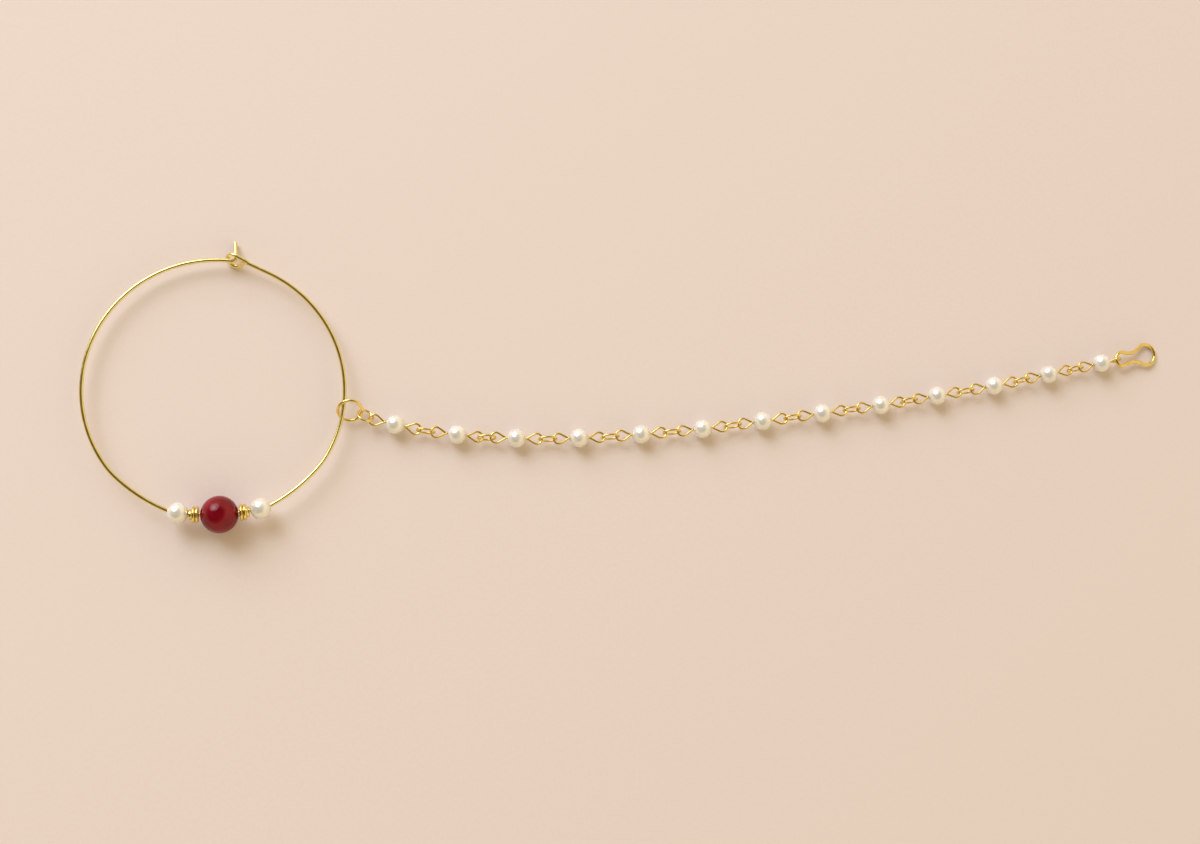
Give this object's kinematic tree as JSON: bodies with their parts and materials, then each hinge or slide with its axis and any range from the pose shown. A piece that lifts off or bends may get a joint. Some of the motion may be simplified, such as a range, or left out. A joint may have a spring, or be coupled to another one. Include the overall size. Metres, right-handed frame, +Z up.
{
  "type": "nose ring",
  "caption": "Bridal nose ring: a round gold wire hoop with a red bead between pearls at its bottom, and a chain of pearl links that ends in a small hair hook.",
  "frame": {"origin": "on the table under the middle of the whole piece", "axes": "+X from the hoop along the chain to the hook, +Y from the red bead across the hoop to the clasp, +Z up"},
  "size_m": [0.1774, 0.0458, 0.0058],
  "materials": {
    "gold_wire": "polished yellow gold plating on brass wire",
    "pearl": "white pearl coat with a soft lustre",
    "red_bead": "deep red, slightly cloudy, polished"
  },
  "bodies": {
    "root": {"chain_pearl_01": "pearl", "chain_pearl_02": "pearl", "chain_pearl_03": "pearl", "chain_pearl_04": "pearl", "chain_pearl_05": "pearl", "chain_pearl_06": "pearl", "chain_pearl_07": "pearl", "chain_pearl_08": "pearl", "chain_pearl_09": "pearl", "chain_pearl_10": "pearl", "chain_pearl_11": "pearl", "chain_pearl_12": "pearl", "chain_pearl_13": "pearl", "end_hook": "gold_wire", "first_ring": "gold_wire", "hoop_pearl_left": "pearl", "hoop_pearl_right": "pearl", "hoop_wire": "gold_wire", "jump_ring": "gold_wire", "oval_link_01": "gold_wire", "oval_link_02": "gold_wire", "oval_link_03": "gold_wire", "oval_link_04": "gold_wire", "oval_link_05": "gold_wire", "oval_link_06": "gold_wire", "oval_link_07": "gold_wire", "oval_link_08": "gold_wire", "oval_link_09": "gold_wire", "oval_link_10": "gold_wire", "oval_link_11": "gold_wire", "oval_link_12": "gold_wire", "pearl_pin_01": "gold_wire", "pearl_pin_02": "gold_wire", "pearl_pin_03": "gold_wire", "pearl_pin_04": "gold_wire", "pearl_pin_05": "gold_wire", "pearl_pin_06": "gold_wire", "pearl_pin_07": "gold_wire", "pearl_pin_08": "gold_wire", "pearl_pin_09": "gold_wire", "pearl_pin_10": "gold_wire", "pearl_pin_11": "gold_wire", "pearl_pin_12": "gold_wire", "pearl_pin_13": "gold_wire", "ruby_bead": "red_bead", "spacer_left": "gold_wire", "spacer_right": "gold_wire"}
  },
  "joints": []
}
